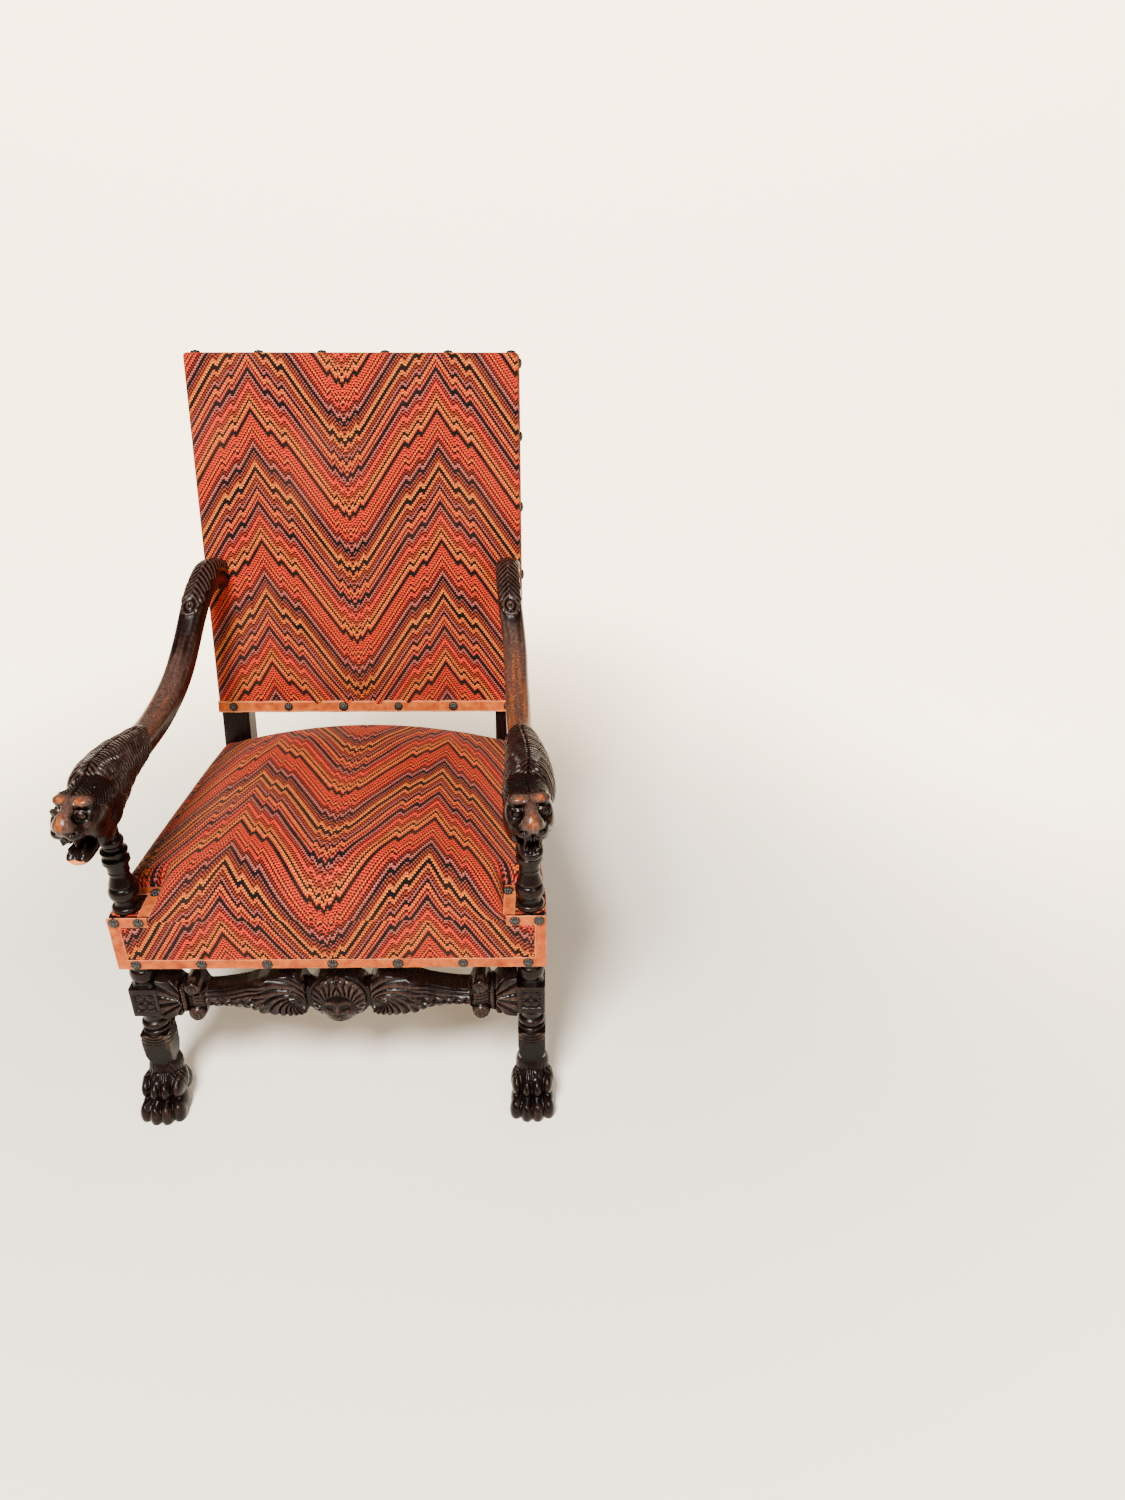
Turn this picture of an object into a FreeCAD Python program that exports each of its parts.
import FreeCAD, Part
import math
import os

os.makedirs("parts", exist_ok=True)
V = FreeCAD.Vector

# Driving dimensions, in millimetres. X to the sitter's left, Y to the back, Z up.
post_spacing = 655.0
post_square = 48.0
front_post_y = -295.5
back_post_width = 54.0
back_post_depth = 46.0
back_post_spacing = 556.0
back_height = 1179.0
back_bottom = 508.0
rake_angle = 11.2
back_face_depth = 531.0
knee_height = 425.0
fit_clearance = 0.3
cut_overrun = 5.0
flat_tolerance = 1e-7

# Flats round a turning, a dowel, a carved mass and the arm
turning_flat_count = 16
dowel_flat_count = 12
egg_flat_count = 8
arm_flat_count = 12

# Front post: heights where its turned and square parts change
stretcher_block_low = 211.0
stretcher_block_high = 269.0
seat_block_low = 319.0
seat_block_high = 425.0
lower_square_low = 100.0
lower_square_high = 165.0
baluster_top = 596.0
turning_radius = 24.0
baluster_tenon_radius = 9.0
baluster_tenon_length = 26.0
foot_dowel_radius = 10.0
foot_dowel_length = 34.0
shoulder_corner_radius = 33.5
shoulder_end_radius = 23.0
shoulder_length = 9.0
petal_panel_size = 36.0
petal_panel_depth = 2.5
petal_length = 22.0
petal_bulge = 3.5
petal_thickness = 1.8
petal_boss_radius = 4.0
petal_points = 5

# Each turned profile is a table of (height share, radius share)
foot_turning_shares = [
    (0.00, 0.98), (0.15, 0.94), (0.20, 0.78), (0.42, 0.96), (0.54, 0.76), (0.82, 0.82), (1.00, 1.00),
]
upper_turning_shares = [(0.00, 0.94), (0.12, 0.80), (0.52, 0.96), (0.74, 0.78), (0.84, 0.94), (1.00, 0.92)]
baluster_shares = [
    (0.000, 1.00), (0.070, 0.96), (0.100, 0.69), (0.130, 0.71), (0.176, 0.95), (0.222, 1.00), (0.268, 0.94),
    (0.292, 0.79), (0.438, 0.62), (0.456, 0.72), (0.500, 0.72), (0.544, 0.90), (0.596, 0.90), (0.620, 0.65),
    (0.655, 0.90), (0.690, 0.90), (0.713, 0.62), (0.778, 0.77), (0.836, 0.62), (1.000, 0.58),
]
stretcher_turning_shares = [
    (0.00, 0.60), (0.03, 0.95), (0.06, 0.95), (0.09, 0.55), (0.40, 0.90), (0.60, 0.90), (0.91, 0.55),
    (0.94, 0.95), (0.97, 0.95), (1.00, 0.60),
]

# Paw foot
paw_height = 100.0
paw_toe_reach = 78.0
paw_heel_reach = 40.0
paw_half_width = 39.0
toe_spacing = 19.0
toe_radius = 11.5
toe_length = 27.0
toe_height = 17.0
toe_centre_height = 15.0
knuckle_radius = 11.0
knuckle_length = 23.0
knuckle_height = 18.0
knuckle_centre_height = 40.0
claw_radius = 4.0
claw_length = 12.0
spike_tip_share = 0.25
paw_dowel_hole_extra = 2.0

# Arm and lion's head
arm_width = 44.0
arm_height = 46.0
arm_back_x = 283.0
arm_front_x = 329.0
arm_nose_reach = 130.0
arm_low_height = 653.0
arm_knuckle_height = 801.0
arm_end_drop = 24.0
arm_end_height = 62.0
arm_tenon_width = 20.0
arm_tenon_height = 36.0
arm_tenon_length = 24.0
head_half_width = 37.0
head_top = 700.0
head_bottom = 585.0
brow_radius = 13.0
brow_spread = 19.0
brow_setback = 42.0
brow_height = 683.0
eye_radius = 7.0
eye_spread = 17.5
eye_setback = 35.0
eye_height = 673.0
nose_half_width = 16.0
nose_half_length = 30.0
nose_half_height = 16.0
nose_height = 657.0
jowl_radius = 15.0
jowl_spread = 13.0
jowl_height = 636.0
jowl_setback = 17.0
mouth_low = 604.0
mouth_high = 626.0
mouth_depth = 52.0
fang_radius = 3.6
fang_length = 13.0
fang_spread = 11.0
fang_setback = 13.0
ear_radius = 12.0
ear_setback = 82.0
ear_height = 686.0
ear_spread = 33.0

# Front stretcher
stretcher_thickness = 34.0
stretcher_centre_height = 243.0
stretcher_half_height = 40.0
ground_share = 0.92
stretcher_tenon_thickness = 12.0
stretcher_tenon_height = 34.0
stretcher_tenon_length = 22.0
mask_half_width = 48.0
mask_half_height = 47.0
mask_relief = 20.0
mask_nose_radius = 8.0
mask_cheek_radius = 14.0
scroll_radius = 13.0
scroll_offset = 23.0
scroll_place = 243.0
scroll_relief = 4.0
leaf_ridge_relief = 6.0
leaf_ridge_width = 9.0
shell_rib_radius = 5.0
shell_rib_count = 5
shell_spread_angle = 100.0
shell_length = 36.0

# Turned stretchers
side_stretcher_radius = 19.0
side_stretcher_height = 240.0
cross_stretcher_radius = 18.0
stretcher_square = 38.0
round_tenon_radius = 9.0
round_tenon_length = 16.0

# Seat frame
rail_thickness = 28.0
rail_low = 325.0
rail_height = 72.0
rail_tenon_thickness = 10.0
rail_tenon_height = 50.0
front_rail_tenon_length = 22.0
side_rail_tenon_length = 17.0
back_rail_tenon_length = 22.0
corner_block_leg = 62.0
corner_block_height = 34.0
corner_block_drop = 12.0
peg_radius = 4.0
peg_clearance = 0.1
peg_gap = 26.0

# Back frame
top_rail_height = 58.0
bottom_rail_height = 44.0
back_frame_rail_thickness = 26.0
foot_kick = 56.0
foot_kick_height = 215.0
foot_depth = 44.0
foot_sag_share = 0.22
foot_points = 8

# Cloth, straps and stuffing
cover_thickness = 2.5
soft_gap = 0.3
arm_cloth_gap = 1.5
strap_width = 50.0
strap_thickness = 1.5
seat_strap_count = 5
seat_cross_strap_count = 4
back_strap_count = 3
back_cross_strap_count = 5
strap_grip = 20.0
hessian_thickness = 1.0
seat_tongue_low_rise = 16.0
seat_tongue_high_rise = 39.0
seat_tongue_overlap = 20.0
seat_side_rise = 19.0
seat_shoulder_rise = 40.0
seat_shoulder_inset = 30.0
seat_crown_rise = 56.0
seat_shoulder_bulge = 7.0
shoulder_bulge_share = 0.3
seat_turn_points = 5
seat_crown_points = 13
dust_cover_thickness = 1.0
outside_thickness = 1.5
back_edge_stuffing = 3.0
back_crown = 13.0
back_face_points = 13

# Tape and nails
tape_width = 18.0
back_tape_width = 23.0
tape_thickness = 1.2
nail_radius = 8.5
nail_height = 4.5
nail_shank_radius = 1.2
nail_shank_length = 9.0
seat_nail_spacing = 108.0
seat_nail_count = 7
back_top_nail_count = 6
back_top_nail_spacing = 117.0
back_side_nail_count = 5
back_side_nail_spacing = 131.0
back_tape_nail_spacing = 111.0
nail_petals = 6
nail_notch_share = 0.82


# Small helpers
def box(x0, x1, y0, y1, z0, z1):
    return Part.makeBox(x1 - x0, y1 - y0, z1 - z0, V(x0, y0, z0))


# A ring of points on an oblong, squarer than an ellipse where the power is under 1
def oblong(count, power, place):
    points = []
    for index in range(count):
        angle = 2 * math.pi * (index + 0.5) / count
        across = math.copysign(abs(math.cos(angle)) ** power, math.cos(angle))
        upward = math.copysign(abs(math.sin(angle)) ** power, math.sin(angle))
        points.append(place(across, upward))
    return points


def polygon(points):
    return Part.Face(Part.makePolygon(list(points) + [points[0]]))


# Whether a wall's four corners lie in one plane
def is_flat(corners):
    normal = corners[1].sub(corners[0]).cross(corners[2].sub(corners[0])).normalize()
    return abs(normal.dot(corners[3].sub(corners[0]))) < flat_tolerance


# A closed solid from rings of points: flat walls from ring to ring and a flat end at each side
def skin(rings):
    faces = [polygon(rings[0]), polygon(rings[-1])]
    for low, high in zip(rings, rings[1:]):
        for index in range(len(low)):
            after = (index + 1) % len(low)
            corners = [low[index], low[after], high[after], high[index]]
            if is_flat(corners):
                faces.append(polygon(corners))
            else:
                faces.append(polygon(corners[:3]))
                faces.append(polygon([corners[0], corners[2], corners[3]]))
    solid = Part.Solid(Part.Shell(faces))
    if solid.Volume < 0:
        solid.reverse()
    return solid


# Points along the arc through three points
def bend(start, middle, end, count):
    return Part.Arc(start, middle, end).toShape().discretize(count)


# A carver's egg: rings of flats along Y, small at both ends
def ellipsoid(x, y, z, half_x, half_y, half_z):
    rings = []
    for turn in (-68, -34, 0, 34, 68):
        along = math.sin(math.radians(turn)) * half_y
        size = math.cos(math.radians(turn))
        rings.append(oblong(
            egg_flat_count, 1, lambda u, v: V(x + u * half_x * size, y + along, z + v * half_z * size)
        ))
    return skin(rings)


def mirrored(shape):
    return shape.mirror(V(0, 0, 0), V(1, 0, 0))


def fused(shapes):
    first = shapes[0]
    if len(shapes) == 1:
        return first
    return first.fuse(shapes[1:]).removeSplitter()


# A dowel or socket between two points, in flats as whittled work is
def rod(radius, start, end):
    run = end.sub(start)
    ring = oblong(dowel_flat_count, 1, lambda u, v: V(u * radius, v * radius, 0))
    prism = polygon(ring).extrude(V(0, 0, run.Length))
    prism.Placement = FreeCAD.Placement(start, FreeCAD.Rotation(V(0, 0, 1), run))
    return prism


def save(name, shape):
    shape.exportStep("parts/" + name + ".step")


# A turned length: rings of flats at each change of a profile of beads, coves and vases
def turned(x, y, low, high, radius, shares):
    rings = []
    for up, across in shares:
        z = low + (high - low) * up
        size = radius * across
        rings.append(oblong(turning_flat_count, 1, lambda u, v: V(x + u * size, y + v * size, z)))
    return skin(rings)


# A square block with lathe-cut shoulders: a square prism met by a barrel
def shouldered_block(x, y, low, high, square):
    half = square / 2
    prism = box(x - half, x + half, y - half, y + half, low, high)
    length = shoulder_length / (high - low)
    full = shoulder_corner_radius
    end = shoulder_end_radius / full
    shares = [(0, end), (length, 1), (1 - length, 1), (1, end)]
    return prism.common(turned(x, y, low, high, full, shares))


# Places worked out from the driving dimensions
post_x = post_spacing / 2
half_post = post_square / 2
post_inner_x = post_x - half_post
post_outer_x = post_x + half_post
post_front_y = front_post_y - half_post
post_back_y = front_post_y + half_post
back_post_x = back_post_spacing / 2
back_post_inner_x = back_post_x - back_post_width / 2
back_post_outer_x = back_post_x + back_post_width / 2
rake = math.radians(rake_angle)
back_layers = 2 * strap_thickness + hessian_thickness + back_edge_stuffing + cover_thickness
back_face_y = front_post_y + back_face_depth
frame_face_y = back_face_y + back_layers / math.cos(rake)
knee_y = frame_face_y - (back_bottom - knee_height) * math.tan(rake)
back_slope_length = (back_height - back_bottom) / math.cos(rake)
rail_high = rail_low + rail_height
seat_front_y = post_front_y - cover_thickness
seat_half_front = post_outer_x + cover_thickness
seat_half_back = back_post_outer_x + cover_thickness
seat_back_y = knee_y - soft_gap
seat_side_height = rail_high + seat_side_rise
seat_tongue_low = rail_high + seat_tongue_low_rise
seat_tongue_high = rail_high + seat_tongue_high_rise
arm_end_z = arm_knuckle_height - arm_end_drop
arm_end_tall = arm_end_height / arm_height
arm_end_share = arm_end_drop / (arm_knuckle_height - arm_low_height)
arm_end_up = (arm_end_z - back_bottom) / math.cos(rake) + back_layers * math.tan(rake)
arm_end_y = frame_face_y + (arm_end_z - back_bottom) * math.tan(rake)


# A point on the raked back, from its bottom edge: across, behind the cloth face, up the slope
def on_back(x, depth, up):
    return V(
        x,
        back_face_y + depth * math.cos(rake) + up * math.sin(rake),
        back_bottom - depth * math.sin(rake) + up * math.cos(rake),
    )


def raked(shape):
    shape = shape.copy()
    turn = FreeCAD.Rotation(V(1, 0, 0), -rake_angle)
    place = FreeCAD.Placement(V(0, back_face_y, back_bottom), turn)
    shape.Placement = place.multiply(shape.Placement)
    return shape


# A carved four-petal flower in the sunk panel of a stretcher block, facing the front
def petal_flower(x, z):
    petals = []
    front = post_front_y + petal_panel_depth
    for quarter in range(4):
        start = V(0, 0, 0)
        end = V(petal_length, 0, 0)
        middle = petal_length / 2
        left = bend(start, V(middle, 0, petal_bulge), end, petal_points)
        right = bend(end, V(middle, 0, -petal_bulge), start, petal_points)
        petal = polygon(left[:-1] + right[:-1]).extrude(V(0, -petal_thickness, 0))
        petal.rotate(V(0, 0, 0), V(0, 1, 0), 45 + 90 * quarter)
        petal.translate(V(x, front, z))
        petals.append(petal)
    centre = V(x, front, z)
    return petals + [rod(petal_boss_radius, centre, centre - V(0, petal_thickness, 0))]


# Pegs: a place, a direction and a length, kept so that holes follow them
pegs = []


def add_peg(start, direction, length):
    pegs.append((start, direction, length))


# Riven pegs are eight-sided, and the holes close on their flats
def peg_prism(radius, start, direction, length):
    ring = [
        V(radius * math.cos(math.radians(45 * side)), radius * math.sin(math.radians(45 * side)), 0)
        for side in range(8)
    ]
    prism = polygon(ring).extrude(V(0, 0, length))
    prism.Placement = FreeCAD.Placement(start, FreeCAD.Rotation(V(0, 0, 1), direction))
    return prism


def peg_holes():
    return [peg_prism(peg_radius + peg_clearance, *peg) for peg in pegs]


side_slope = (post_outer_x - back_post_outer_x) / (knee_y - post_back_y)


# The side rail's outer face runs from the front post's outer face to the back post's
def side_x(y):
    return post_outer_x - (y - post_back_y) * side_slope


rail_middle = rail_low + rail_height / 2
block_middle = (stretcher_block_low + stretcher_block_high) / 2
peg_reach = half_post + rail_tenon_thickness
for peg_z in (rail_middle - peg_gap / 2, rail_middle + peg_gap / 2):
    front_peg_x = post_inner_x + front_rail_tenon_length / 2
    add_peg(V(front_peg_x, post_front_y, peg_z), V(0, 1, 0), peg_reach)
    side_peg_y = post_back_y - side_rail_tenon_length / 2
    add_peg(V(post_outer_x, side_peg_y, peg_z + peg_radius * 2), V(-1, 0, 0), peg_reach)
    back_peg_x = back_post_inner_x + back_rail_tenon_length / 2
    back_peg_y = knee_y + back_post_depth
    add_peg(V(back_peg_x, back_peg_y, peg_z), V(0, -1, 0), back_post_depth / 2 + rail_tenon_thickness)
stretcher_peg_x = post_inner_x + stretcher_tenon_length / 2
add_peg(V(stretcher_peg_x, post_back_y, block_middle + peg_gap / 2), V(0, -1, 0), peg_reach)


# Turned front post, with its blocks, baluster, round tenons and the mortises for rails and stretchers
def front_post():
    lower = shouldered_block(post_x, front_post_y, lower_square_low, lower_square_high, post_square)
    foot_turning = turned(
        post_x, front_post_y, lower_square_high, stretcher_block_low, turning_radius, foot_turning_shares
    )
    half = post_square / 2
    stretcher_block = box(
        post_x - half, post_x + half, post_front_y, post_back_y, stretcher_block_low, stretcher_block_high
    )
    panel = petal_panel_size / 2
    sunk = box(
        post_x - panel, post_x + panel, post_front_y - cut_overrun, post_front_y + petal_panel_depth,
        block_middle - panel, block_middle + panel,
    )
    stretcher_block = stretcher_block.cut(sunk)
    upper = turned(
        post_x, front_post_y, stretcher_block_high, seat_block_low, turning_radius, upper_turning_shares
    )
    seat_block = box(
        post_x - half, post_x + half, post_front_y, post_back_y, seat_block_low, seat_block_high
    )
    baluster = turned(
        post_x, front_post_y, seat_block_high, baluster_top, turning_radius, baluster_shares
    )
    top = V(post_x, front_post_y, baluster_top)
    tenon = rod(baluster_tenon_radius, top, top + V(0, 0, baluster_tenon_length))
    bottom = V(post_x, front_post_y, lower_square_low)
    dowel = rod(foot_dowel_radius, bottom, bottom - V(0, 0, foot_dowel_length))
    body = fused([lower, foot_turning, stretcher_block, upper, seat_block, baluster, tenon, dowel])
    body = fused([body] + petal_flower(post_x, block_middle))
    gap = peg_clearance
    front_mortise = box(
        post_inner_x - cut_overrun, post_inner_x + front_rail_tenon_length + gap,
        front_rail_tenon_y - gap, front_rail_tenon_y + rail_tenon_thickness + gap,
        rail_middle - rail_tenon_height / 2 - gap, rail_middle + rail_tenon_height / 2 + gap,
    )
    side_mortise = box(
        side_rail_tenon_x - gap, side_rail_tenon_x + rail_tenon_thickness + gap,
        post_back_y - side_rail_tenon_length - gap, post_back_y + cut_overrun,
        rail_middle - rail_tenon_height / 2 - gap, rail_middle + rail_tenon_height / 2 + gap,
    )
    tenon_half = stretcher_tenon_thickness / 2 + gap
    stretcher_mortise = box(
        post_inner_x - cut_overrun, post_inner_x + stretcher_tenon_length + gap,
        front_post_y - tenon_half, front_post_y + tenon_half,
        block_middle - stretcher_tenon_height / 2 - gap, block_middle + stretcher_tenon_height / 2 + gap,
    )
    mouth = V(post_x, post_back_y, side_stretcher_height)
    socket = rod(
        round_tenon_radius + gap, mouth + V(0, cut_overrun, 0), mouth - V(0, round_tenon_length + gap, 0)
    )
    body = body.cut([front_mortise, side_mortise, stretcher_mortise, socket] + peg_holes())
    return pierced(body, seat_nail_places())


front_rail_tenon_y = post_front_y + (rail_thickness - rail_tenon_thickness) / 2
side_rail_tenon_x = post_outer_x - (rail_thickness + rail_tenon_thickness) / 2


# One level outline of the paw: a round-cornered oblong, further in front than at the heel
def paw_section(half_width, front, heel, z):
    middle_y = front_post_y + (heel - front) / 2
    half_depth = (heel + front) / 2
    return oblong(
        arm_flat_count, 0.7, lambda u, v: V(post_x + u * half_width, middle_y + v * half_depth, z)
    )


# (height share, width share, front reach share, heel share) of the paw's solid core
paw_core_shares = [
    (0.00, 0.86, 0.66, 0.90), (0.18, 0.92, 0.70, 1.00), (0.42, 0.88, 0.56, 0.90), (0.66, 0.76, 0.40, 0.72),
    (0.86, 0.68, 0.34, 0.66), (1.00, 0.66, 0.32, 0.64),
]
# (place across in toe spacings, setback share of the toes' reach) of each toe
toe_place_shares = [(-1.5, 0.14), (-0.5, 0.0), (0.5, 0.0), (1.5, 0.14)]


# A four-sided spike, for claws and teeth
def spike(radius, root, tip):
    run = tip.sub(root)
    base = [V(radius, 0, 0), V(0, radius, 0), V(-radius, 0, 0), V(0, -radius, 0)]
    blunt = [point * spike_tip_share + V(0, 0, run.Length) for point in base]
    body = skin([base, blunt])
    body.Placement = FreeCAD.Placement(root, FreeCAD.Rotation(V(0, 0, 1), run))
    return body


# Lion's paw: a lofted core with knuckles, toes and claws, cut flat where it stands
def paw_foot():
    rings = [
        paw_section(
            paw_half_width * width, paw_toe_reach * front, paw_heel_reach * heel, paw_height * height
        )
        for height, width, front, heel in paw_core_shares
    ]
    solids = [skin(rings)]
    for across, back_share in toe_place_shares:
        x = post_x + across * toe_spacing
        tip_y = front_post_y - paw_toe_reach * (1 - back_share)
        toe_y = tip_y + toe_length
        solids.append(ellipsoid(x, toe_y, toe_centre_height, toe_radius, toe_length, toe_height))
        knuckle_y = toe_y + knuckle_length * 0.55
        solids.append(
            ellipsoid(x, knuckle_y, knuckle_centre_height, knuckle_radius, knuckle_length, knuckle_height)
        )
        root = V(x, tip_y + claw_length, claw_radius * 2)
        solids.append(spike(claw_radius, root, V(x, tip_y, claw_radius)))
    body = fused(solids)
    floor = box(
        post_x - post_square * 2, post_x + post_square * 2, post_front_y - paw_toe_reach * 2,
        post_back_y + paw_heel_reach * 2, -paw_height, 0,
    )
    hole = rod(
        foot_dowel_radius + peg_clearance, V(post_x, front_post_y, paw_height + cut_overrun),
        V(post_x, front_post_y, paw_height - foot_dowel_length - paw_dowel_hole_extra),
    )
    return body.cut([floor, hole])


# (depth share, drop share, inward share, height factor, width factor) of the arm, from back to front
arm_reach = arm_end_y - front_post_y
arm_shares = [
    (1.000, arm_end_share, 1.00, arm_end_tall, 1.00),
    (0.943, 0.05, 1.00, 1.08, 1.00), (0.880, 0.00, 1.00, 0.96, 1.00),
    (0.820, 0.07, 0.94, 0.94, 1.00), (0.746, 0.24, 0.84, 0.98, 1.00), (0.695, 0.44, 0.73, 1.00, 0.98),
    (0.635, 0.64, 0.64, 1.00, 0.98), (0.552, 0.81, 0.59, 0.98, 0.98), (0.460, 0.92, 0.51, 0.96, 0.98),
    (0.345, 0.99, 0.42, 0.96, 1.00), (0.270, 1.00, 0.34, 1.00, 1.04),
]
# (setback share of the nose's reach, top share, bottom share, width share) of the head
head_shares = [
    (-1.05, 0.80, 0.40, 0.72), (-0.60, 0.92, 0.26, 0.84), (-0.15, 1.00, 0.08, 0.96), (0.18, 1.00, 0.00, 1.00),
    (0.48, 0.96, 0.02, 0.95), (0.70, 0.86, 0.04, 0.82), (0.86, 0.72, 0.07, 0.72), (0.96, 0.60, 0.12, 0.62),
]


# A rounded section of the arm, square to its run
def arm_section(centre, along, half_width, half_height):
    side = V(1, 0, 0)
    up = side.cross(along).normalize()
    if up.z < 0:
        up = up * -1
    return oblong(
        arm_flat_count, 0.8, lambda u, v: centre + side * (u * half_width) + up * (v * half_height)
    )


def arm_stations():
    stations = []
    for depth, drop, inward, tall, wide in arm_shares:
        y = front_post_y + arm_reach * depth
        z = arm_knuckle_height - (arm_knuckle_height - arm_low_height) * drop
        x = arm_front_x - (arm_front_x - arm_back_x) * inward
        stations.append((V(x, y, z), arm_width / 2 * wide, arm_height / 2 * tall))
    for setback, top, bottom, wide in head_shares:
        y = front_post_y - arm_nose_reach * setback
        high = head_bottom + (head_top - head_bottom) * top
        low = head_bottom + (head_top - head_bottom) * bottom
        stations.append((V(arm_front_x, y, (high + low) / 2), head_half_width * wide, (high - low) / 2))
    return stations


# The arm with its lion's head: one loft from the back knuckle to the muzzle, then the carved masses
def arm():
    stations = arm_stations()
    rings = []
    for index, (centre, half_width, half_height) in enumerate(stations):
        before = stations[max(index - 1, 0)][0]
        after = stations[min(index + 1, len(stations) - 1)][0]
        along = after.sub(before)
        if index == 0:
            along = V(0, -math.cos(rake), math.sin(rake))
            centre = centre + V(0, cut_overrun, 0)
        if index >= len(arm_shares):
            along = V(0, -1, 0)
        along.x = 0
        rings.append(arm_section(centre, along, half_width, half_height))
    body = skin(rings)
    nose_y = front_post_y - arm_nose_reach
    masses = []
    for side in (-1, 1):
        masses.append(
            ellipsoid(
                arm_front_x + side * brow_spread, nose_y + brow_setback, brow_height,
                brow_radius * 1.25, brow_radius, brow_radius * 0.8,
            )
        )
        masses.append(
            ellipsoid(
                arm_front_x + side * eye_spread, nose_y + eye_setback, eye_height,
                eye_radius, eye_radius, eye_radius,
            )
        )
        masses.append(
            ellipsoid(
                arm_front_x + side * jowl_spread, nose_y + jowl_setback, jowl_height,
                jowl_radius, jowl_radius * 1.1, jowl_radius,
            )
        )
        masses.append(
            ellipsoid(
                arm_front_x + side * ear_spread, nose_y + ear_setback, ear_height,
                ear_radius * 0.6, ear_radius, ear_radius,
            )
        )
    masses.append(
        ellipsoid(
            arm_front_x, nose_y + nose_half_length, nose_height,
            nose_half_width, nose_half_length, nose_half_height,
        )
    )
    body = fused([body] + masses)
    mouth = polygon([
        V(arm_front_x - head_half_width * 2, nose_y - cut_overrun, mouth_high),
        V(arm_front_x - head_half_width * 2, nose_y - cut_overrun, mouth_low),
        V(arm_front_x - head_half_width * 2, nose_y + mouth_depth, (mouth_low + mouth_high) / 2),
    ]).extrude(V(head_half_width * 4, 0, 0))
    body = body.cut(mouth)
    fangs = []
    for side in (-1, 1):
        x = arm_front_x + side * fang_spread
        y = nose_y + fang_setback
        root = fang_radius
        upper_tip = V(x, y, mouth_high - fang_length)
        fangs.append(spike(fang_radius, V(x, y, mouth_high + root), upper_tip))
        behind = y + fang_radius * 2
        lower_tip = V(x, behind, mouth_low + fang_length)
        fangs.append(spike(fang_radius, V(x, behind, mouth_low - root), lower_tip))
    body = fused([body] + fangs)
    gap = peg_clearance
    top = V(post_x, front_post_y, baluster_top)
    post_hole = rod(
        baluster_tenon_radius + gap, top - V(0, 0, cut_overrun), top + V(0, 0, baluster_tenon_length + gap)
    )
    neck_radius = turning_radius * baluster_shares[-1][1] + fit_clearance
    neck_low = baluster_top - neck_radius
    seating = turned(post_x, front_post_y, neck_low, baluster_top, neck_radius, [(0, 1), (1, 1)])
    body = body.cut([post_hole, seating])
    tenon = raked(box(
        arm_back_x - arm_tenon_width / 2, arm_back_x + arm_tenon_width / 2,
        back_layers - cut_overrun, back_layers + arm_tenon_length,
        arm_end_up - arm_tenon_height / 2, arm_end_up + arm_tenon_height / 2,
    ))
    behind = raked(box(
        0, post_spacing, back_layers, post_spacing, 0, back_slope_length
    ))
    return body.cut(behind).fuse(tenon)


# The back post's side outline: straight rake above the knee, a kicked-back foot below
def back_post():
    depth = back_post_depth / math.cos(rake)
    top = back_slope_length - cover_thickness
    top_front = on_back(0, back_layers, top)
    top_back = on_back(0, back_layers + back_post_depth, top)
    knee_front = V(0, knee_y, knee_height)
    knee_back = V(0, knee_y + depth, knee_height)
    ankle_front = V(0, knee_y, foot_kick_height)
    ankle_back = V(0, knee_y + depth, foot_kick_height)
    foot_front = V(0, knee_y + foot_kick, 0)
    foot_back = V(0, knee_y + foot_kick + foot_depth, 0)
    middle_z = foot_kick_height / 2
    sag = foot_kick * foot_sag_share
    front_sag = V(0, knee_y + sag, middle_z)
    back_sag = V(0, knee_y + (depth + foot_depth) / 2 + sag, middle_z)
    outline = [top_front, knee_front]
    outline += bend(ankle_front, front_sag, foot_front, foot_points)
    outline += bend(foot_back, back_sag, ankle_back, foot_points)
    outline += [knee_back, top_back]
    body = polygon(outline).extrude(V(back_post_width, 0, 0))
    body.translate(V(back_post_inner_x, 0, 0))
    gap = peg_clearance
    low = rail_middle - rail_tenon_height / 2 - gap
    high = rail_middle + rail_tenon_height / 2 + gap
    back_mortise = box(
        back_post_inner_x - cut_overrun, back_post_inner_x + back_rail_tenon_length + gap,
        back_rail_tenon_y - gap, back_rail_tenon_y + rail_tenon_thickness + gap, low, high,
    )
    side_mortise = box(
        side_rail_end_x - gap, side_rail_end_x + rail_tenon_thickness + gap,
        knee_y - cut_overrun, knee_y + side_rail_tenon_length + gap, low, high,
    )
    sockets = []
    for up, height in ((0, bottom_rail_height), (top - top_rail_height, top_rail_height)):
        sockets.append(raked(box(
            back_post_inner_x - cut_overrun, back_post_inner_x + back_rail_tenon_length + gap,
            frame_tenon_depth - gap, frame_tenon_depth + rail_tenon_thickness + gap,
            up + height * 0.2 - gap, up + height * 0.8 + gap,
        )))
    sockets.append(raked(box(
        arm_back_x - arm_tenon_width / 2 - gap, arm_back_x + arm_tenon_width / 2 + gap,
        back_layers - cut_overrun, back_layers + arm_tenon_length + gap,
        arm_end_up - arm_tenon_height / 2 - gap, arm_end_up + arm_tenon_height / 2 + gap,
    )))
    mouth = V(back_post_x, knee_y, side_stretcher_height)
    socket = rod(
        round_tenon_radius + gap, mouth - V(0, cut_overrun, 0), mouth + V(0, round_tenon_length + gap, 0)
    )
    body = body.cut([back_mortise, side_mortise, socket] + sockets + peg_holes())
    return pierced(body, back_nail_places())


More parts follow.
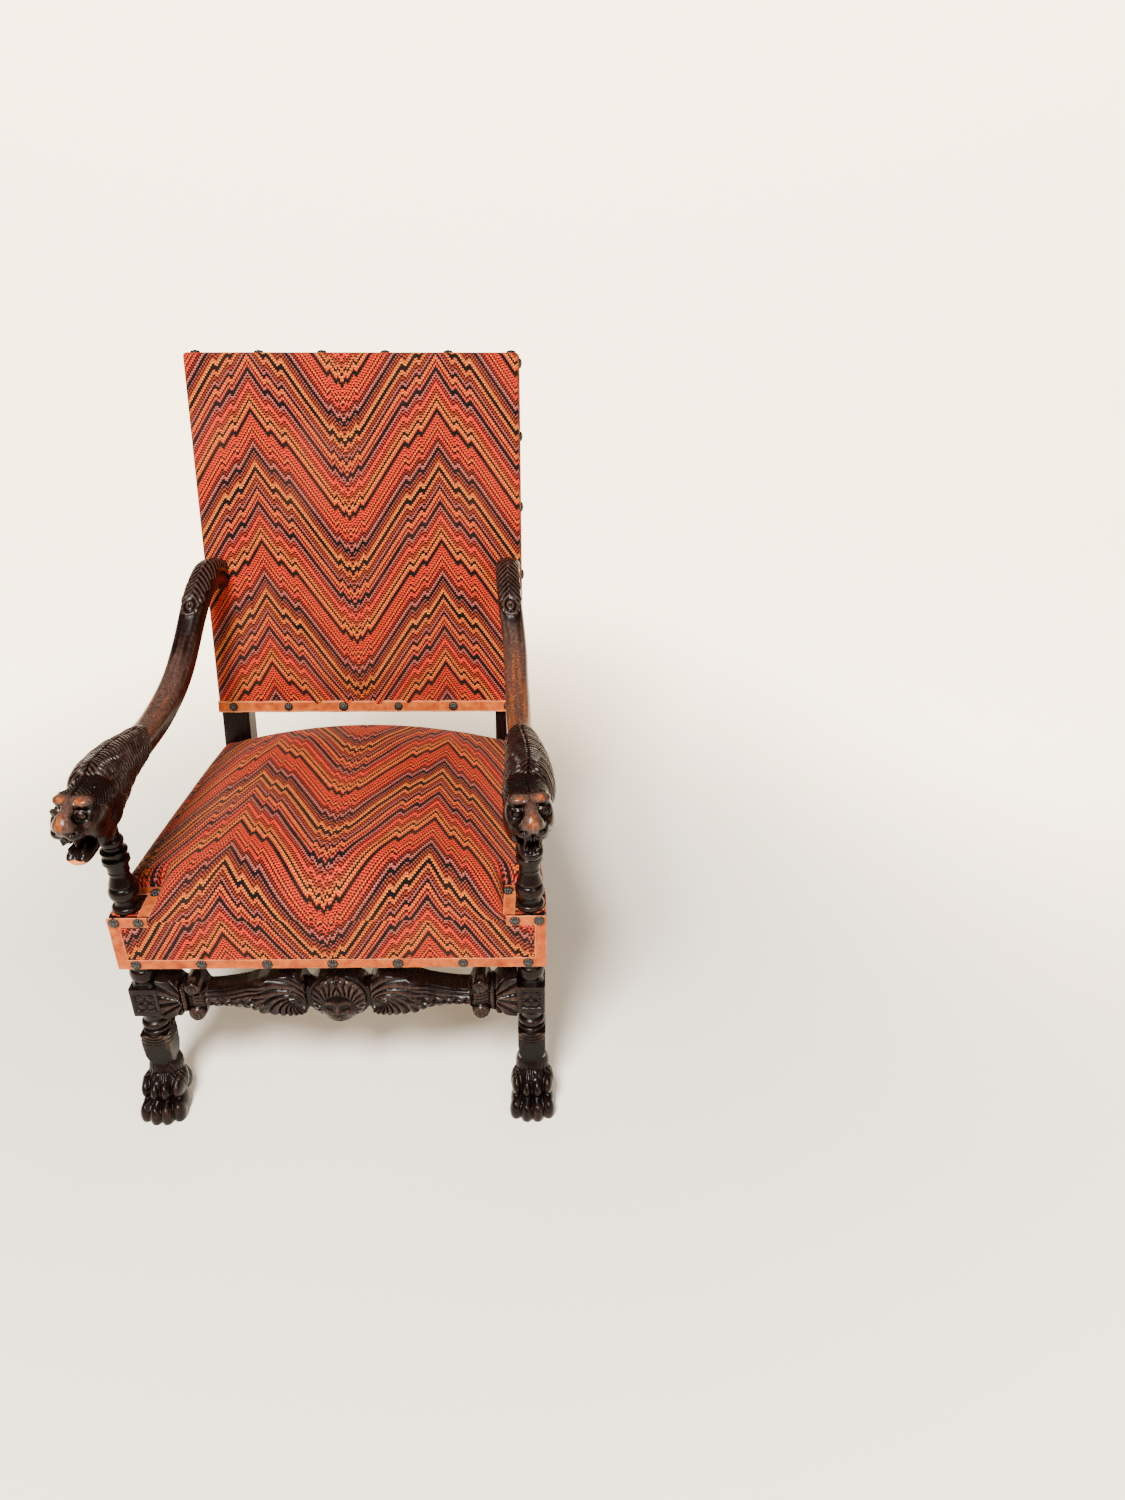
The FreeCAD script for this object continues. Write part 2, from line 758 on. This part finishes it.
back_rail_tenon_y = knee_y + (rail_thickness - rail_tenon_thickness) / 2
side_rail_end_x = back_post_outer_x - (rail_thickness + rail_tenon_thickness) / 2
frame_tenon_depth = back_layers + (back_frame_rail_thickness - rail_tenon_thickness) / 2


# Straight rail between two posts, with a tenon at each end
def cross_rail(half_length, y0, z0, height, thickness, tenon_y, tenon_length, tenon_low, tenon_high):
    body = box(-half_length, half_length, y0, y0 + thickness, z0, z0 + height)
    tenons = [
        box(
            side * half_length - (tenon_length if side < 0 else 0),
            side * half_length + (tenon_length if side > 0 else 0),
            tenon_y, tenon_y + rail_tenon_thickness, tenon_low, tenon_high,
        )
        for side in (-1, 1)
    ]
    return fused([body] + tenons)


def both_sides(tools):
    return tools + [mirrored(tool) for tool in tools]


def seat_rail_front():
    rail = cross_rail(
        post_inner_x, post_front_y, rail_low, rail_height, rail_thickness, front_rail_tenon_y,
        front_rail_tenon_length, rail_middle - rail_tenon_height / 2, rail_middle + rail_tenon_height / 2,
    )
    return pierced(rail.cut(both_sides(peg_holes())), seat_nail_places())


def seat_rail_back():
    rail = cross_rail(
        back_post_inner_x, knee_y, rail_low, rail_height, rail_thickness, back_rail_tenon_y,
        back_rail_tenon_length, rail_middle - rail_tenon_height / 2, rail_middle + rail_tenon_height / 2,
    )
    return rail.cut(both_sides(peg_holes()))


# Splayed side rail: its outer face joins the outer faces of the front and back posts
def seat_rail_side():
    outline = [
        V(post_outer_x, post_back_y, rail_low),
        V(back_post_outer_x, knee_y, rail_low),
        V(back_post_outer_x - rail_thickness, knee_y, rail_low),
        V(post_outer_x - rail_thickness, post_back_y, rail_low),
    ]
    body = polygon(outline).extrude(V(0, 0, rail_height))
    low = rail_middle - rail_tenon_height / 2
    high = rail_middle + rail_tenon_height / 2
    front = box(
        side_rail_tenon_x, side_rail_tenon_x + rail_tenon_thickness,
        post_back_y - side_rail_tenon_length, post_back_y, low, high,
    )
    back = box(
        side_rail_end_x, side_rail_end_x + rail_tenon_thickness,
        knee_y, knee_y + side_rail_tenon_length, low, high,
    )
    return fused([body, front, back]).cut(peg_holes())


# Glued corner block: a bevelled triangle seated on two rails, notched round the post
def corner_block(front):
    low = rail_high - corner_block_drop - corner_block_height
    if front:
        inner_y = post_front_y + rail_thickness
        inner_x = side_x(inner_y) - rail_thickness
        sign = 1
        post = box(
            post_inner_x - fit_clearance, post_outer_x, post_front_y, post_back_y + fit_clearance,
            low - cut_overrun, rail_high,
        )
    else:
        inner_y = knee_y
        inner_x = back_post_outer_x - rail_thickness
        sign = -1
        post = None
    leg = corner_block_leg
    far_y = inner_y + sign * leg
    outline = [
        V(side_x(inner_y) - rail_thickness if front else inner_x, inner_y, low),
        V(side_x(far_y) - rail_thickness, far_y, low),
        V(side_x(far_y) - rail_thickness - leg / 4, far_y, low),
        V(inner_x - leg, inner_y + sign * leg / 4, low),
        V(inner_x - leg, inner_y, low),
    ]
    block = polygon(outline).extrude(V(0, 0, corner_block_height))
    if post:
        block = block.cut(post)
    return block


# Half of the carved stretcher's front elevation: (run share, top share, bottom share) from the mask out
stretcher_outline_shares = [
    (0.00, 1.00, -0.90), (0.16, 1.00, -0.90), (0.19, 1.24, -0.92), (0.26, 1.42, -0.98), (0.36, 1.36, -0.88),
    (0.50, 0.96, -0.66), (0.64, 0.66, -0.56), (0.76, 0.56, -0.52), (0.84, 0.60, -0.56), (0.88, 0.84, -0.84),
    (0.94, 0.96, -0.98), (1.00, 0.98, -1.00),
]


# Curved bar between the posts, with the mask, leaf ridges, scroll bosses and end shells on its face
def front_stretcher():
    half = post_inner_x
    tall = stretcher_half_height
    middle = stretcher_centre_height
    back_y = front_post_y + stretcher_thickness / 2
    front_y = front_post_y - stretcher_thickness / 2
    ground = tall * ground_share
    top = []
    bottom = []
    for run, high, low in stretcher_outline_shares:
        top.append(V(half * run, back_y, middle + ground * high))
        bottom.append(V(half * run, back_y, middle + ground * low))

    def other(points):
        return [V(-point.x, point.y, point.z) for point in points]

    outline = other(reversed(top[1:])) + top + list(reversed(bottom)) + other(bottom[1:])
    body = polygon(outline).extrude(V(0, -stretcher_thickness, 0))
    carved = []
    mask = ellipsoid(0, front_y, middle, mask_half_width, mask_relief, mask_half_height)
    behind = box(-half, half, back_y, back_y + mask_relief * 2, 0, middle * 2)
    carved.append(mask)
    carved.append(ellipsoid(
        0, front_y - mask_relief, middle - mask_nose_radius,
        mask_nose_radius, mask_nose_radius * 0.9, mask_nose_radius * 1.7,
    ))
    for side in (-1, 1):
        carved.append(ellipsoid(
            side * mask_cheek_radius * 1.3, front_y - mask_relief * 0.72, middle - mask_cheek_radius * 1.2,
            mask_cheek_radius, mask_cheek_radius * 0.6, mask_cheek_radius,
        ))
        for level in (-1, 1):
            centre = V(side * scroll_place, back_y, middle + level * scroll_offset)
            face = centre - V(0, stretcher_thickness + scroll_relief, 0)
            carved.append(rod(scroll_radius, centre, face))
            carved.append(rod(scroll_radius * 0.45, face, face - V(0, scroll_relief, 0)))
        for index in range(shell_rib_count):
            share = index / (shell_rib_count - 1) - 0.5
            turn = math.radians(shell_spread_angle) * share
            start = V(side * (half - shell_length), front_y, middle)
            reach = shell_length * 0.92
            lift = tall * 0.9 * math.sin(turn)
            end = start + V(side * reach * math.cos(turn), 0, lift)
            carved.append(spike(shell_rib_radius, end, start))
        for run, rise, length, turn in leaf_ridge_shares:
            leaf = ridge(tall * length, leaf_ridge_relief, leaf_ridge_width / 2)
            leaf.rotate(V(0, 0, 0), V(0, 1, 0), -side * turn)
            leaf.translate(V(side * half * run, front_y, middle + tall * rise))
            carved.append(leaf)
    body = fused([body] + carved)
    tenons = [
        box(
            side * half - (stretcher_tenon_length if side < 0 else 0),
            side * half + (stretcher_tenon_length if side > 0 else 0),
            front_post_y - stretcher_tenon_thickness / 2, front_post_y + stretcher_tenon_thickness / 2,
            block_middle - stretcher_tenon_height / 2, block_middle + stretcher_tenon_height / 2,
        )
        for side in (-1, 1)
    ]
    ends = []
    for side in (-1, 1):
        low_x = half if side > 0 else -half - post_spacing
        ends.append(box(
            low_x, low_x + post_spacing, front_y - mask_relief * 2, back_y + mask_relief, 0, middle * 2
        ))
    body = body.cut([behind] + ends)
    return fused([body] + tenons).cut(both_sides(peg_holes()))


# A keeled leaf rib: a long four-sided spindle along X
def ridge(half_length, relief, half_width):
    rings = []
    for along, size in ridge_shares:
        x = half_length * along
        keel = relief * size
        flank = half_width * size
        rings.append([V(x, keel, 0), V(x, 0, flank), V(x, -keel, 0), V(x, 0, -flank)])
    return skin(rings)


# (length share, thickness share) along a leaf rib
ridge_shares = [(-1.0, 0.15), (-0.45, 0.90), (0.25, 1.00), (1.0, 0.15)]
# (run share, rise share, length share, turn in degrees) of each leaf ridge
leaf_ridge_shares = [
    (0.24, 0.82, 0.62, 28), (0.32, 0.48, 0.80, 12), (0.30, 0.08, 0.86, -4), (0.28, -0.36, 0.74, -16),
    (0.50, 0.24, 0.80, 12), (0.52, -0.20, 0.76, -8), (0.68, 0.10, 0.70, 4),
]


# A turned bar between two points: turned along Z, then laid along its line, with round tenons
def turned_bar(start, end, radius, tenon_length):
    run = end.sub(start)
    bar = turned(0, 0, 0, run.Length, radius, stretcher_turning_shares)
    tenons = [
        rod(round_tenon_radius, V(0, 0, -tenon_length), V(0, 0, 0)),
        rod(round_tenon_radius, V(0, 0, run.Length), V(0, 0, run.Length + tenon_length)),
    ]
    bar = fused([bar] + tenons)
    bar.Placement = FreeCAD.Placement(start, FreeCAD.Rotation(V(0, 0, 1), run))
    return bar


# Side stretcher: squared in its middle to take the cross stretcher
def side_stretcher():
    start = V(post_x, post_back_y, side_stretcher_height)
    end = V(back_post_x, knee_y, side_stretcher_height)
    run = end.sub(start)
    bar = turned(0, 0, 0, run.Length, side_stretcher_radius, stretcher_turning_shares)
    half = stretcher_square / 2
    block_low = run.Length / 2 - stretcher_square
    block = box(-half, half, -half, half, block_low, block_low + stretcher_square * 2)
    bar = fused([bar, block])
    bar.Placement = FreeCAD.Placement(start, FreeCAD.Rotation(V(0, 0, 1), run))
    tenons = [
        rod(round_tenon_radius, start + V(0, cut_overrun, 0), start - V(0, round_tenon_length, 0)),
        rod(round_tenon_radius, end - V(0, cut_overrun, 0), end + V(0, round_tenon_length, 0)),
    ]
    low = side_stretcher_height - post_square
    high = side_stretcher_height + post_square
    trims = [
        box(post_inner_x, post_outer_x, post_front_y, post_back_y, low, high),
        box(back_post_inner_x, back_post_outer_x, knee_y, knee_y + back_post_depth, low, high),
    ]
    bar = fused([bar.cut(trims)] + tenons)
    middle = (start + end) * 0.5
    socket = rod(
        round_tenon_radius + peg_clearance, middle, middle - V(cross_socket_reach + cut_overrun, 0, 0)
    )
    return bar.cut(socket)


cross_socket_reach = stretcher_square / 2


def cross_stretcher():
    middle_y = (post_back_y + knee_y) / 2
    middle_x = (post_x + back_post_x) / 2 - stretcher_square / 2 - side_slope * stretcher_square / 2
    start = V(-middle_x + fit_clearance, middle_y, side_stretcher_height)
    end = V(middle_x - fit_clearance, middle_y, side_stretcher_height)
    return turned_bar(start, end, cross_stretcher_radius, round_tenon_length * 0.7)


# Rails of the raked back, at its top and bottom
def back_frame_rail(up, height):
    body = cross_rail(
        back_post_inner_x, back_layers, up, height, back_frame_rail_thickness, frame_tenon_depth,
        back_rail_tenon_length, up + height * 0.2, up + height * 0.8,
    )
    return pierced(raked(body), back_nail_places())


# One upright outline across the domed seat: flat sides, rounded shoulders, crowned top
def seat_section(y, half, side_high, shoulder_high, crown_high, low):
    right = V(half, y, side_high)
    shoulder = V(half - seat_shoulder_inset, y, shoulder_high)
    middle = (right + shoulder) * 0.5
    bulge = min(seat_shoulder_bulge, (shoulder_high - side_high) * shoulder_bulge_share)
    middle = middle + V(1, 0, 1).normalize() * bulge
    turn = bend(right, middle, shoulder, seat_turn_points)
    crown = bend(shoulder, V(0, y, crown_high), V(-shoulder.x, y, shoulder_high), seat_crown_points)
    other_turn = [V(-point.x, y, point.z) for point in reversed(turn)]
    return [V(-half, y, low), V(half, y, low)] + turn + crown[1:-1] + other_turn


# (depth share, shoulder share, crown share) of the seat's stations: over the posts' depth, then behind it
front_roll_shares = [
    (0.00, 0.05, 0.10), (0.10, 0.22, 0.29), (0.28, 0.43, 0.50), (0.58, 0.66, 0.70), (1.00, 0.84, 0.86),
]
rear_dome_shares = [
    (0.12, 0.94, 0.94), (0.30, 0.99, 0.99), (0.62, 1.00, 1.00), (0.82, 0.96, 0.93), (0.93, 0.86, 0.80),
    (1.00, 0.62, 0.62),
]


# The seat's outer form with its tongue over the back rail, drawn in by an inset for what lies under the cover
def seat_form(inset, low, tongue_half):
    front = seat_front_y + inset
    back = seat_back_y - inset
    stations = []
    for depth, shoulder, crown in front_roll_shares:
        stations.append((front + (post_back_y - front) * depth, shoulder, crown))
    for depth, shoulder, crown in rear_dome_shares:
        stations.append((post_back_y + (back - post_back_y) * depth, shoulder, crown))
    rings = []
    for y, shoulder, crown in stations:
        half = side_x(max(y, post_back_y)) + cover_thickness - inset
        shoulder_z = seat_side_height + seat_shoulder_rise * shoulder - inset
        crown_z = shoulder_z + seat_crown_rise * crown
        rings.append(seat_section(y, half, seat_side_height - inset, shoulder_z, crown_z, low))
    half = tongue_half
    far = knee_y + rail_thickness + cover_thickness - inset
    tongue = polygon([
        V(-half, back - seat_tongue_overlap, low),
        V(-half, far, low),
        V(-half, far, seat_tongue_low - inset),
        V(-half, back, seat_tongue_high - inset),
        V(-half, back - seat_tongue_overlap, seat_tongue_high - inset),
    ]).extrude(V(half * 2, 0, 0))
    return skin(rings).fuse(tongue)


# The room round a front post above its block, where the cover is cut away
def post_notch(grow):
    floor_z = seat_block_high + cover_thickness - grow
    return box(
        post_inner_x - cover_thickness - grow, post_outer_x + post_square,
        post_front_y - post_square, post_back_y + cover_thickness + grow, floor_z, head_top,
    )


def seat_notches(grow):
    return both_sides([post_notch(grow)])


post_blocks = both_sides([
    box(
        post_inner_x - soft_gap, post_outer_x + soft_gap, post_front_y - soft_gap, post_back_y + soft_gap,
        seat_block_low - cut_overrun, seat_block_high + soft_gap,
    ),
    turned(
        post_x, front_post_y, seat_block_high, baluster_top, turning_radius + soft_gap * 2, [(0, 1), (1, 1)]
    ),
])


def seat_cover():
    outer = seat_form(0, seat_block_low, back_post_inner_x - soft_gap).cut(seat_notches(0))
    inner = seat_form(cover_thickness, seat_block_low - post_square, back_post_inner_x)
    inner = inner.cut(seat_notches(cover_thickness))
    reach = side_x(seat_back_y - cover_thickness)
    open_back = box(-reach, reach, seat_back_y - cut_overrun, seat_back_y + cut_overrun, 0, seat_cloth_low)
    shell = outer.cut(inner).cut(open_back)
    return pierced(shell.cut(post_blocks), seat_nail_places())


seat_cloth_low = rail_high + 2 * strap_thickness + hessian_thickness


def seat_stuffing():
    pad = seat_form(cover_thickness + soft_gap, seat_cloth_low + soft_gap, back_post_inner_x - soft_gap)
    pad = pad.cut(seat_notches(cover_thickness + soft_gap))
    return pierced(pad.cut(post_blocks), seat_nail_places())


# The seat cloth's outline: the frame's plan, notched round the front posts
def seat_plan(z, thickness, inset):
    outline = [
        V(-side_x(post_back_y) + inset, post_back_y + inset, z),
        V(-post_inner_x + inset, post_back_y + inset, z),
        V(-post_inner_x + inset, post_front_y + inset, z),
        V(post_inner_x - inset, post_front_y + inset, z),
        V(post_inner_x - inset, post_back_y + inset, z),
        V(side_x(post_back_y) - inset, post_back_y + inset, z),
        V(side_x(knee_y) - inset, knee_y - inset, z),
        V(-side_x(knee_y) + inset, knee_y - inset, z),
    ]
    return polygon(outline).extrude(V(0, 0, thickness))


def seat_hessian():
    return seat_plan(rail_high + 2 * strap_thickness, hessian_thickness, fit_clearance)


def dust_cover():
    return seat_plan(rail_low - dust_cover_thickness, dust_cover_thickness, fit_clearance * 4)


# Woven straps: the lengthwise layer lies on the rails, the cross layer on top of it
def seat_webbing():
    straps = []
    span = 2 * back_post_inner_x - strap_width
    for index in range(seat_strap_count):
        x = -span / 2 + span * index / (seat_strap_count - 1)
        straps.append(box(
            x - strap_width / 2, x + strap_width / 2, post_front_y + rail_thickness - strap_grip,
            knee_y + strap_grip, rail_high, rail_high + strap_thickness,
        ))
    deep = knee_y - post_back_y
    for index in range(seat_cross_strap_count):
        y = post_back_y + deep * (index + 0.5) / seat_cross_strap_count
        reach = side_x(y + strap_width / 2) - rail_thickness + strap_grip
        straps.append(box(
            -reach, reach, y - strap_width / 2, y + strap_width / 2,
            rail_high + strap_thickness, rail_high + 2 * strap_thickness,
        ))
    return Part.Compound([fused(straps)])


def back_webbing():
    straps = []
    top = back_slope_length - cover_thickness
    first = back_layers - strap_thickness
    second = first - strap_thickness
    span = 2 * back_post_inner_x - strap_width * 2
    for index in range(back_strap_count):
        x = -span / 2 + span * index / (back_strap_count - 1)
        straps.append(box(
            x - strap_width / 2, x + strap_width / 2, first, back_layers,
            bottom_rail_height - strap_grip, top - top_rail_height + strap_grip,
        ))
    tall = top - top_rail_height - bottom_rail_height
    for index in range(back_cross_strap_count):
        up = bottom_rail_height + tall * (index + 0.5) / back_cross_strap_count
        reach = back_post_inner_x + strap_grip
        straps.append(box(
            -reach, reach, second, first, up - strap_width / 2, up + strap_width / 2
        ))
    return raked(fused(straps))


# The arm's room through the cloth of the back
def arm_opening(grow):
    half_width = arm_width / 2 + grow
    half_height = arm_end_height / 2 + grow
    return raked(box(
        arm_back_x - half_width, arm_back_x + half_width, -back_crown * 2, back_layers + soft_gap,
        arm_end_up - half_height, arm_end_up + half_height,
    ))


def back_hessian():
    depth = back_layers - 2 * strap_thickness - hessian_thickness
    half = back_post_outer_x
    sheet = raked(box(
        -half, half, depth, depth + hessian_thickness, fit_clearance, back_slope_length - cover_thickness
    ))
    return pierced(sheet.cut(both_sides([arm_opening(arm_cloth_gap)])), back_nail_places())


# One level outline across the back pad, behind its crowned face
def back_section(up, half, front, crown, depth):
    face = bend(V(-half, front, up), V(0, front - crown, up), V(half, front, up), back_face_points)
    return face + [V(half, depth, up), V(-half, depth, up)]


# (slope share, crown share) of the back pad's stations
back_station_shares = [
    (0.00, 0.12), (0.04, 0.12), (0.08, 0.52), (0.18, 0.88),
    (0.50, 1.00), (0.82, 0.92), (0.95, 0.55), (1.00, 0.12),
]


# The back's outer form, drawn in by an inset for what lies under the cover
def back_form(inset, depth, low):
    half = back_post_outer_x + cover_thickness - inset
    high = back_slope_length - inset
    rings = []
    for share, crown in back_station_shares:
        up = low + (high - low) * share
        rings.append(back_section(up, half, inset, back_crown * crown, depth))
    return skin(rings)


def back_cover():
    depth = back_layers + back_post_depth
    outer = back_form(0, depth, 0)
    inner = back_form(cover_thickness, depth + cut_overrun, -cut_overrun)
    shell = raked(outer.cut(inner)).cut(both_sides([arm_opening(arm_cloth_gap)]))
    return pierced(shell, back_nail_places())


def back_stuffing():
    depth = back_layers - 2 * strap_thickness - hessian_thickness
    pad = raked(back_form(cover_thickness + soft_gap, depth - soft_gap, cover_thickness))
    return pierced(pad.cut(both_sides([arm_opening(arm_cloth_gap)])), back_nail_places())


# Rear face of the back: a cloth panel tacked to the posts and rails
def outside_back():
    depth = back_layers + back_post_depth
    half = back_post_outer_x
    return raked(box(-half, half, depth, depth + outside_thickness, 0, back_slope_length - cover_thickness))


# Salmon tape: bottom strip and corner strips of the seat, and strips on the corner blocks
def seat_gimp():
    tape = tape_thickness
    wide = tape_width
    front = seat_front_y
    low = seat_block_low
    strips = [
        box(-seat_half_front, seat_half_front, front - tape, front, low, low + wide),
    ]
    inner_x = post_inner_x - cover_thickness
    outer = seat_half_front
    corner = box(outer - wide, outer, front - tape, front, low + wide, seat_block_high - wide)
    across = box(inner_x - wide / 2, outer, front - tape, front, seat_block_high - wide, seat_block_high)
    strips += both_sides([corner, across])
    return pierced(fused(strips), seat_nail_places())


def back_gimp():
    half = back_post_outer_x + cover_thickness
    band = box(-half, half, -back_crown * 2, cover_thickness, 0, back_tape_width)
    strip = back_form(-tape_thickness, back_layers, 0).common(band)
    body = raked(strip.cut(back_form(0, back_layers, 0)))
    return pierced(body, back_nail_places())


# A rosette nail: a petalled low head on a square shank, made facing up and turned to its place
def nail(place, direction):
    rim = []
    petals = nail_petals * 2
    for index in range(petals):
        angle = 2 * math.pi * index / petals
        reach = nail_radius if index % 2 == 0 else nail_radius * nail_notch_share
        rim.append(V(reach * math.cos(angle), reach * math.sin(angle), 0))
    crown = V(0, 0, nail_height)
    faces = [polygon(rim)]
    for index in range(petals):
        faces.append(polygon([rim[index - 1], rim[index], crown]))
    head = Part.Solid(Part.Shell(faces))
    if head.Volume < 0:
        head.reverse()
    shank = box(
        -nail_shank_radius, nail_shank_radius, -nail_shank_radius, nail_shank_radius, -nail_shank_length, 0
    )
    body = head.fuse(shank)
    body.Placement = FreeCAD.Placement(place, FreeCAD.Rotation(V(0, 0, 1), direction))
    return body


# Square holes where nails pass through a piece
def pierced(shape, places):
    half = nail_shank_radius + peg_clearance
    holes = []
    for place, direction in places:
        hole = box(-half, half, -half, half, -nail_shank_length - peg_clearance, nail_height)
        hole.Placement = FreeCAD.Placement(place, FreeCAD.Rotation(V(0, 0, 1), direction))
        holes.append(hole)
    return shape.cut(holes)


def row(count, spacing):
    return [(index - (count - 1) / 2) * spacing for index in range(count)]


def seat_nail_places():
    places = []
    face = seat_front_y - tape_thickness
    for x in row(seat_nail_count, seat_nail_spacing):
        places.append((V(x, face, seat_block_low + tape_width / 2), V(0, -1, 0)))
    high = seat_block_high - tape_width / 2
    for x in (post_inner_x, post_outer_x - tape_width / 2):
        for side in (-1, 1):
            places.append((V(side * x, face, high), V(0, -1, 0)))
    return places


def back_nail_places():
    places = []
    front = V(0, -math.cos(rake), math.sin(rake))
    upward = V(0, math.sin(rake), math.cos(rake))
    middle = back_layers + back_post_depth / 2
    for x in row(back_top_nail_count, back_top_nail_spacing):
        places.append((on_back(x, middle, back_slope_length), upward))
    half = back_post_outer_x + cover_thickness
    for index in range(back_side_nail_count):
        up = back_slope_length - tape_width - index * back_side_nail_spacing
        for side in (-1, 1):
            places.append((on_back(side * half, middle, up), V(side, 0, 0)))
    for x in row(back_top_nail_count, back_tape_nail_spacing):
        reach = 1 - (x / half) ** 2
        bulge = back_crown * back_station_shares[0][1] * reach
        depth = -tape_thickness - bulge - peg_clearance
        places.append((on_back(x, depth, back_tape_width / 2), front))
    return places


def nail_group(places):
    return [nail(place, direction) for place, direction in places]


# Build and write every piece
def main():
    right = {
        "front_post": front_post(),
        "paw_foot": paw_foot(),
        "arm": arm(),
        "back_post": back_post(),
        "side_stretcher": side_stretcher(),
        "seat_rail": seat_rail_side(),
        "corner_block_front": corner_block(True),
        "corner_block_back": corner_block(False),
    }
    for name, shape in right.items():
        save(name + "_right", shape)
        save(name + "_left", mirrored(shape))
    save("front_stretcher", front_stretcher())
    save("cross_stretcher", cross_stretcher())
    save("seat_rail_front", seat_rail_front())
    save("seat_rail_back", seat_rail_back())
    top = back_slope_length - cover_thickness
    save("back_rail_top", back_frame_rail(top - top_rail_height, top_rail_height))
    save("back_rail_bottom", back_frame_rail(0, bottom_rail_height))
    save("seat_webbing", seat_webbing())
    save("seat_hessian", seat_hessian())
    save("seat_stuffing", seat_stuffing())
    save("dust_cover", dust_cover())
    save("back_webbing", back_webbing())
    save("back_hessian", back_hessian())
    save("back_stuffing", back_stuffing())
    seat_nails = nail_group(seat_nail_places())
    back_nails = nail_group(back_nail_places())
    save("seat_cover", seat_cover())
    save("back_cover", back_cover())
    save("outside_back", outside_back())
    save("seat_gimp", seat_gimp())
    save("back_gimp", back_gimp())
    save("seat_nails", Part.Compound(seat_nails))
    save("back_nails", Part.Compound(back_nails))
    save("joint_pegs", Part.Compound(both_sides([peg_prism(peg_radius, *peg) for peg in pegs])))


main()
